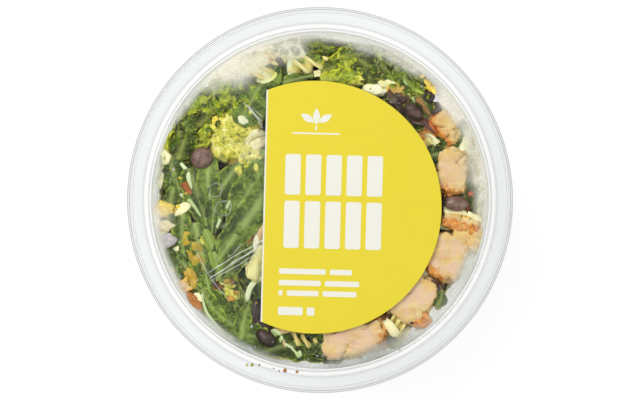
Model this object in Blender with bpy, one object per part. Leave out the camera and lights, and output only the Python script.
"""Chilled pasta salad in a clear round tub, shut with a clear plug-in lid that carries a round sticker.

Frame: metres, +Z up, origin on the table under the middle of the tub. +Y is the label's upper edge.
Sizes below are in millimetres and turned to metres by MM.
"""

import math

import bmesh
import bpy
from mathutils import Matrix, Vector, noise

MM = 0.001

# Driving sizes of the pack
LID_RADIUS = 75.0
PACK_HEIGHT = 56.0
SKIN = 0.7  # thickness of the formed sheet
GAP = 0.3  # clearance kept between neighbours
SEGMENTS = 48  # facets round the pack; a multiple of 4, so that both axes meet corners
CORNER_STEPS = 2

# Lid: a flat rim ring, a skirt round it, and a panel sunk into the tub's mouth
PANEL_DROP = 3.4
PANEL_RADIUS = 66.9
RIM_INNER_RADIUS = 68.8
SKIRT_DEPTH = 5.8
SHARP_BEND = 0.9  # bend radius of the formed sheet, on its upper side; more than SKIN
ROUND_BEND = 1.2
PANEL_TOP = PACK_HEIGHT - PANEL_DROP
PANEL_UNDERSIDE = PANEL_TOP - SKIN

# Tub: a flange under the lid's rim, a shoulder, a tapered wall and a foot ring
FLANGE_TOP = PACK_HEIGHT - SKIN - GAP
FLANGE_RADIUS = LID_RADIUS - 2 * SKIN
FLANGE_CURL = 2.6
MOUTH_RADIUS = 69.9
SHOULDER_TOP = PANEL_UNDERSIDE - GAP - 0.1
SHOULDER_RADIUS = 67.9
WALL_TOP_RADIUS = 65.5
WALL_TOP = SHOULDER_TOP - 1.3
WALL_FOOT_RADIUS = 50.6
WALL_FOOT = 2.6
FOOT_OUTER_RADIUS = 48.8
FOOT_INNER_RADIUS = 45.0
FLOOR_RADIUS = 43.4
FLOOR_TOP = 2.3

# Sticker: clear film, a little off the lid's middle
LABEL_RADIUS = 49.3
LABEL_THICKNESS = 0.3
LABEL_CENTRE = (-1.9, -2.8)

# Salad: one heap, pressed flat by the lid, that falls away towards the wall
HEAP_FLOOR = FLOOR_TOP + GAP
HEAP_CROWN = PANEL_UNDERSIDE - 1.4
HEAP_RIM = 42.5
HEAP_FLAT_SHARE = 0.62  # the part of the radius that is pressed flat
HEAP_SIDE_DENT = 2.2
HEAP_DENTS_ROUND = 3.0  # sets how many dents there are round the side
HEAP_DENT_HEIGHT = 10.0
HEAP_LUMP = 1.7
HEAP_LUMP_WIDTH = 11.0
HEAP_SIDE_LEVELS = 6
HEAP_TOP_RINGS = 9

# Larger pieces in the top of the heap: name, kind, middle x and y, how far the top lies
# under the lid, length, width, height, and the turn of the length from +X in degrees
PIECES = (
    ("chicken_1", "chunk", 49.6, 28.6, 1.2, 14.0, 8.5, 9.0, -54),
    ("chicken_2", "chunk", 51.4, 11.2, 0.6, 17.0, 12.5, 12.0, 84),
    ("chicken_3", "chunk", 54.6, -9.0, 0.9, 15.0, 6.4, 9.0, -14),
    ("chicken_4", "chunk", 50.2, -22.4, 0.6, 19.0, 15.0, 12.0, 68),
    ("chicken_5", "chunk", 36.4, -38.4, 0.6, 20.0, 15.0, 12.0, 48),
    ("chicken_6", "chunk", 12.8, -55.0, 0.8, 25.0, 12.5, 11.0, 12),
    ("olive_1", "olive", -46.2, 16.4, 0.8, 9.6, 9.4, 9.0, 0),
    ("olive_2", "olive", 53.4, -1.5, 0.8, 12.0, 6.6, 8.0, -6),
    ("olive_3", "olive", -21.0, -54.2, 1.0, 14.0, 8.8, 9.0, -38),
    ("olive_4", "olive", 36.6, 34.8, 1.2, 13.0, 8.0, 8.0, -38),
    ("pasta_1", "spiral", -4.4, 53.4, 0.8, 17.0, 9.0, 9.0, 8),
    ("pasta_2", "spiral", -23.4, -25.4, 0.8, 18.0, 8.6, 8.6, 70),
    ("pasta_3", "spiral", 38.2, 22.4, 1.6, 11.0, 7.0, 7.0, -10),
    ("pasta_4", "spiral", -22.6, 49.8, 1.4, 15.0, 8.4, 8.4, 24),
    ("pasta_5", "spiral", -7.0, -54.4, 1.4, 13.0, 7.6, 7.6, -20),
    ("cheese_1", "flake", 28.4, -50.6, 0.8, 12.0, 5.2, 3.0, -58),
    ("cheese_2", "flake", -23.8, 23.0, 1.0, 10.0, 6.0, 3.0, 20),
)
CHUNK_CUTS = 2
CHUNK_ROUNDNESS = 0.42  # from a cube, 0, to a ball, 1
CHUNK_BALL = 1.3  # that ball's radius, in half cubes
CHUNK_SWELL = 1.1  # how far the softened faces bulge, which the size allows for
CHUNK_ROUGHNESS = 0.5
CHUNK_LUMP_WIDTH = 4.0
OLIVE_SIDES = 10
SPIRAL_LOBES = 3
SPIRAL_LOBE_DEPTH = 0.28
SPIRAL_SIDES = 9
SPIRAL_STEPS = 8
SPIRAL_TURNS = 0.9
FLAKE_TAPER = 0.55
POCKET_CLEARANCE = 0.7  # a pocket's wall stands this far off the piece in it
WALL_CLEARANCE = 0.6


# ---------------------------------------------------------------- helpers


def clear_scene():
    for old in list(bpy.data.objects):
        bpy.data.objects.remove(old)


def finish_of(name, colour, roughness, alpha=1.0):
    """A Principled material; colour is linear RGB."""
    material = bpy.data.materials.new(name)
    material.use_nodes = True
    shader = material.node_tree.nodes["Principled BSDF"]
    shader.inputs["Base Color"].default_value = (*colour, 1.0)
    shader.inputs["Roughness"].default_value = roughness
    shader.inputs["Alpha"].default_value = alpha
    return material


def add_object(name, mesh, material):
    body = bpy.data.objects.new(name, mesh)
    bpy.context.scene.collection.objects.link(body)
    mesh.materials.append(material)
    return body


def mesh_from(name, shape):
    """Closes a bmesh into a mesh whose faces point outwards, in metres."""
    bmesh.ops.recalc_face_normals(shape, faces=shape.faces)
    bmesh.ops.scale(shape, vec=(MM, MM, MM), verts=shape.verts)
    mesh = bpy.data.meshes.new(name)
    shape.to_mesh(mesh)
    shape.free()
    return mesh


def rounded(corners):
    """A section's outline: each corner is (radius, height, fillet), a fillet becoming an arc."""
    outline = []
    for i, (r, z, fillet) in enumerate(corners):
        here = Vector((r, z))
        if not fillet:
            outline.append(here)
            continue
        before = (Vector(corners[i - 1][:2]) - here).normalized()
        after = (Vector(corners[i + 1][:2]) - here).normalized()
        half = before.angle(after) / 2
        centre = here + (before + after).normalized() * (fillet / math.sin(half))
        start = here + before * (fillet / math.tan(half)) - centre
        end = here + after * (fillet / math.tan(half)) - centre
        sweep = start.angle_signed(end)
        for step in range(CORNER_STEPS + 1):
            angle = -sweep * step / CORNER_STEPS
            outline.append(centre + Matrix.Rotation(angle, 2) @ start)
    return outline


def parallel(outline):
    """The outline's other side: every stretch moved by SKIN to its right, meeting at mitred corners."""
    sides = []
    for before, after in zip(outline, outline[1:]):
        along = (after - before).normalized()
        sides.append(Vector((along.y, -along.x)))
    points = []
    for i, here in enumerate(outline):
        first = sides[max(i - 1, 0)]
        second = sides[min(i, len(sides) - 1)]
        across = (first + second).normalized()
        points.append(here + across * (SKIN / across.dot(first)))
    return points


def formed_sheet(name, corners, material):
    """A body of formed sheet turned about Z. The corners give half of its upper side, out from the axis."""
    upper = rounded(corners)
    section = upper + parallel(upper)[::-1]
    points = [(p.x * MM, 0.0, p.y * MM) for p in section]
    edges = [(i, i + 1) for i in range(len(points) - 1)]
    mesh = bpy.data.meshes.new(name)
    mesh.from_pydata(points, edges, [])
    body = add_object(name, mesh, material)
    screw = body.modifiers.new("turn", "SCREW")
    screw.steps = SEGMENTS
    screw.render_steps = SEGMENTS
    screw.use_merge_vertices = True
    screw.merge_threshold = 0.00001
    screw.use_smooth_shade = True


def wall_radius(height):
    """The tub's inner radius at a height, along its tapered wall."""
    share = (height - WALL_FOOT) / (WALL_TOP - WALL_FOOT)
    return WALL_FOOT_RADIUS + (WALL_TOP_RADIUS - WALL_FOOT_RADIUS) * min(max(share, 0.0), 1.0)


# ---------------------------------------------------------------- the pack


def make_tub(material):
    formed_sheet(
        "tub",
        (
            (0.0, FLOOR_TOP, 0),
            (FLOOR_RADIUS, FLOOR_TOP, 0),
            (FOOT_INNER_RADIUS, SKIN, 0),
            (FOOT_OUTER_RADIUS, SKIN, 0),
            (WALL_FOOT_RADIUS, WALL_FOOT, 0),
            (WALL_TOP_RADIUS, WALL_TOP, SHARP_BEND),
            (SHOULDER_RADIUS, SHOULDER_TOP, 0),
            (MOUTH_RADIUS, FLANGE_TOP, SHARP_BEND),
            (FLANGE_RADIUS, FLANGE_TOP, ROUND_BEND),
            (FLANGE_RADIUS, FLANGE_TOP - FLANGE_CURL, 0),
        ),
        material,
    )


def make_lid(material):
    formed_sheet(
        "lid",
        (
            (0.0, PANEL_TOP, 0),
            (PANEL_RADIUS, PANEL_TOP, 0),
            (RIM_INNER_RADIUS, PACK_HEIGHT, SHARP_BEND),
            (LID_RADIUS, PACK_HEIGHT, ROUND_BEND),
            (LID_RADIUS, PACK_HEIGHT - SKIRT_DEPTH, 0),
        ),
        material,
    )


def make_label(material):
    shape = bmesh.new()
    bmesh.ops.create_cone(
        shape,
        cap_ends=True,
        segments=SEGMENTS,
        radius1=LABEL_RADIUS,
        radius2=LABEL_RADIUS,
        depth=LABEL_THICKNESS,
    )
    middle = PANEL_TOP + GAP + LABEL_THICKNESS / 2
    bmesh.ops.translate(shape, vec=(*LABEL_CENTRE, middle), verts=shape.verts)
    add_object("label", mesh_from("label", shape), material)


# ---------------------------------------------------------------- the larger pieces


def kept_inside(point):
    """The point moved, where it must be, to lie inside the shut tub: food is pressed flat there."""
    top = PANEL_UNDERSIDE - GAP - 0.1
    height = min(point.z, top)
    most = wall_radius(height) * math.cos(math.pi / SEGMENTS) - WALL_CLEARANCE
    reach = math.hypot(point.x, point.y)
    squeeze = min(1.0, most / reach) if reach else 1.0
    return Vector((point.x * squeeze, point.y * squeeze, height))


def chunk_shape(half):
    """A diced piece of chicken: a cube with softened corners and an uneven skin."""
    shape = bmesh.new()
    bmesh.ops.create_cube(shape, size=2.0)
    bmesh.ops.subdivide_edges(shape, edges=shape.edges, cuts=CHUNK_CUTS, use_grid_fill=True)
    for vertex in shape.verts:
        soft = vertex.co.lerp(vertex.co.normalized() * CHUNK_BALL, CHUNK_ROUNDNESS)
        vertex.co = soft / CHUNK_SWELL
    bmesh.ops.scale(shape, vec=half, verts=shape.verts)
    return shape


def olive_shape(half):
    """A stoned olive, or a slice of one."""
    shape = bmesh.new()
    bmesh.ops.create_uvsphere(shape, u_segments=OLIVE_SIDES, v_segments=OLIVE_SIDES // 2 + 1, radius=1.0)
    bmesh.ops.scale(shape, vec=half, verts=shape.verts)
    return shape


def spiral_shape(half):
    """A pasta spiral: three blades that turn about its length."""
    shape = bmesh.new()
    rings = []
    for step in range(SPIRAL_STEPS + 1):
        along = step / SPIRAL_STEPS
        ring = []
        for side in range(SPIRAL_SIDES):
            angle = 2 * math.pi * side / SPIRAL_SIDES
            reach = 1 - SPIRAL_LOBE_DEPTH * (1 - math.cos(SPIRAL_LOBES * angle))
            turn = angle + 2 * math.pi * SPIRAL_TURNS * along
            ring.append(
                shape.verts.new(
                    (
                        half.x * (2 * along - 1),
                        half.y * reach * math.cos(turn),
                        half.z * reach * math.sin(turn),
                    )
                )
            )
        rings.append(ring)
    for first, second in zip(rings, rings[1:]):
        for i in range(SPIRAL_SIDES):
            j = (i + 1) % SPIRAL_SIDES
            shape.faces.new((first[i], first[j], second[j], second[i]))
    shape.faces.new(rings[0])
    shape.faces.new(rings[-1])
    return shape


def flake_shape(half):
    """A shaving of hard cheese: a thin tapered wedge."""
    shape = bmesh.new()
    bmesh.ops.create_cube(shape, size=2.0)
    for vertex in shape.verts:
        if vertex.co.x > 0:
            vertex.co.y *= FLAKE_TAPER
    bmesh.ops.scale(shape, vec=half, verts=shape.verts)
    return shape


def barrel_shape(half):
    """The plain round space that a spiral takes up."""
    shape = bmesh.new()
    lying = Matrix.Rotation(math.pi / 2, 4, "Y")
    reach = 1 / math.cos(math.pi / SPIRAL_SIDES)
    bmesh.ops.create_cone(
        shape, cap_ends=True, segments=SPIRAL_SIDES, radius1=reach, radius2=reach, depth=2.0, matrix=lying
    )
    bmesh.ops.scale(shape, vec=half, verts=shape.verts)
    return shape


SHAPES = {"chunk": chunk_shape, "olive": olive_shape, "spiral": spiral_shape, "flake": flake_shape}
POCKET_SHAPES = SHAPES | {"spiral": barrel_shape}


def piece_mesh(name, kind, x, y, drop, length, width, height, turn, grow):
    """One piece where it lies, or, grown by a margin, the pocket that holds it."""
    half = Vector((length, width, height)) / 2 + Vector((grow, grow, grow))
    shape = (POCKET_SHAPES if grow else SHAPES)[kind](half)
    middle = Vector((x, y, PANEL_UNDERSIDE - drop - height / 2))
    place = Matrix.Translation(middle) @ Matrix.Rotation(math.radians(turn), 4, "Z")
    for vertex in shape.verts:
        if kind == "chunk":
            lump = noise.noise(vertex.co / CHUNK_LUMP_WIDTH + middle) * CHUNK_ROUGHNESS
            vertex.co += vertex.co.normalized() * lump
        vertex.co = place @ vertex.co
        if not grow:
            vertex.co = kept_inside(vertex.co)
    return mesh_from(name, shape)


def make_pieces(materials):
    """The visible larger pieces, and the collection of cutters that leave a pocket for each in the heap."""
    pockets = bpy.data.collections.new("pockets")
    bpy.context.scene.collection.children.link(pockets)
    for row in PIECES:
        name, kind = row[:2]
        add_object(name, piece_mesh(*row, grow=0.0), materials[name.split("_")[0]])
        cutter = bpy.data.objects.new(f"pocket_{name}", piece_mesh(*row, grow=POCKET_CLEARANCE))
        cutter.hide_render = True
        cutter.display_type = "WIRE"
        pockets.objects.link(cutter)
    return pockets


# ---------------------------------------------------------------- the heap


def heap_top(x, y):
    """The heap's height: nearly flat under the lid, lower towards the wall, and lumpy."""
    share = math.hypot(x, y) / WALL_TOP_RADIUS
    slope = max(0.0, share - HEAP_FLAT_SHARE) / (1 - HEAP_FLAT_SHARE)
    fall = (HEAP_CROWN - HEAP_RIM) * slope**2
    lump = HEAP_LUMP * (noise.noise(Vector((x, y, 0.0)) / HEAP_LUMP_WIDTH) - 0.5)
    return min(HEAP_CROWN - fall + lump, PANEL_UNDERSIDE - 2 * GAP)


def heap_side(angle, height):
    """The heap's radius at its side, where leaves and pieces leave dents."""
    around = Vector((math.cos(angle), math.sin(angle), 0.0)) * HEAP_DENTS_ROUND
    around.z = height / HEAP_DENT_HEIGHT
    dent = HEAP_SIDE_DENT * (1 + noise.noise(around)) / 2
    return wall_radius(height) * math.cos(math.pi / SEGMENTS) - WALL_CLEARANCE - dent


def make_salad(material, pockets):
    shape = bmesh.new()
    angles = [2 * math.pi * i / SEGMENTS for i in range(SEGMENTS)]
    rings = []
    for level in range(HEAP_SIDE_LEVELS):
        height = HEAP_FLOOR + (HEAP_RIM - HEAP_FLOOR) * level / (HEAP_SIDE_LEVELS - 1)
        reaches = [heap_side(a, height) for a in angles]
        rings.append([(r * math.cos(a), r * math.sin(a), height) for a, r in zip(angles, reaches)])
    for step in range(1, HEAP_TOP_RINGS):
        inward = 1 - step / HEAP_TOP_RINGS
        ring = []
        for a, r in zip(angles, reaches):
            x, y = r * inward * math.cos(a), r * inward * math.sin(a)
            ring.append((x, y, heap_top(x, y)))
        rings.append(ring)
    loops = [[shape.verts.new(p) for p in ring] for ring in rings]
    for first, second in zip(loops, loops[1:]):
        for i in range(SEGMENTS):
            j = (i + 1) % SEGMENTS
            shape.faces.new((first[i], first[j], second[j], second[i]))
    for loop, height in ((loops[0], HEAP_FLOOR), (loops[-1], heap_top(0.0, 0.0))):
        pole = shape.verts.new((0.0, 0.0, height))
        for i in range(SEGMENTS):
            shape.faces.new((loop[i], loop[(i + 1) % SEGMENTS], pole))
    heap = add_object("salad", mesh_from("salad", shape), material)
    pocket = heap.modifiers.new("pockets", "BOOLEAN")
    pocket.operation = "DIFFERENCE"
    pocket.solver = "EXACT"
    pocket.operand_type = "COLLECTION"
    pocket.collection = pockets


# ---------------------------------------------------------------- build


def main():
    clear_scene()
    clear_plastic = finish_of("clear_plastic", (0.86, 0.9, 0.9), 0.05, 0.25)
    materials = {
        "salad": finish_of("salad", (0.1, 0.17, 0.04), 0.5),
        "chicken": finish_of("chicken", (0.75, 0.52, 0.33), 0.5),
        "olive": finish_of("olive", (0.09, 0.05, 0.045), 0.3),
        "pasta": finish_of("pasta", (0.75, 0.64, 0.31), 0.4),
        "cheese": finish_of("cheese", (0.84, 0.76, 0.45), 0.5),
    }
    make_tub(clear_plastic)
    make_lid(clear_plastic)
    make_label(finish_of("label", (0.81, 0.7, 0.06), 0.4))
    pockets = make_pieces(materials)
    make_salad(materials["salad"], pockets)


main()
